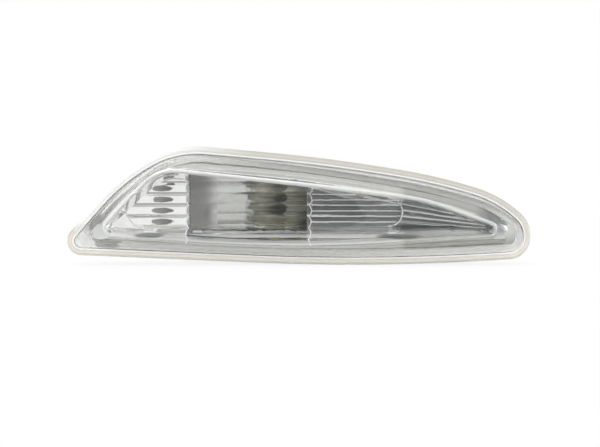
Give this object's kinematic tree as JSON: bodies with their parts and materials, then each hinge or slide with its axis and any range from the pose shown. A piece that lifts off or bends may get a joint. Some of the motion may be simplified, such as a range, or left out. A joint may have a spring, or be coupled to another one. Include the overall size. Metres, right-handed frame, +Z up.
{
  "type": "side repeater lamp",
  "caption": "Leaf-shaped car side repeater lamp: clear crowned lens in a pale seal, bright ribbed reflector with a deep bulb scoop, rear housing with spring clip and twist-lock bulb holder.",
  "frame": {"origin": "middle of the seal's back face, on the outer face of the car's wing", "axes": "+X along the lamp towards its narrow end, +Z up, the lens faces -Y and the housing reaches back along +Y through the wing"},
  "size_m": [0.1298, 0.035, 0.0331],
  "materials": {
    "lens": "clear polished moulding",
    "seal": "soft milky moulding",
    "reflector": "bright metallised plastic",
    "housing": "fine moulded grain",
    "spring_steel": "rolled strip",
    "holder": "fine moulded grain",
    "gasket": "dull",
    "terminal": "stamped strip",
    "bulb": "amber glass",
    "wire": "drawn wire"
  },
  "bodies": {
    "lamp": {"lens": "lens", "seal": "seal", "reflector": "reflector", "housing": "housing", "retaining_spring": "spring_steel"},
    "bulb_carrier": {"bulb_holder": "holder", "holder_gasket": "gasket", "contact_live": "terminal", "contact_earth": "terminal", "bulb_glass": "bulb", "filament": "wire", "lead_wire_live": "wire", "lead_wire_earth": "wire"}
  },
  "joints": [
    {"name": "bulb_holder_twist", "type": "hinge", "parent": "lamp", "child": "bulb_carrier", "pos_m": [0.02, 0.0139, -0.0016], "axis": [1, 0, 0], "range_deg": [0, 45]}
  ]
}
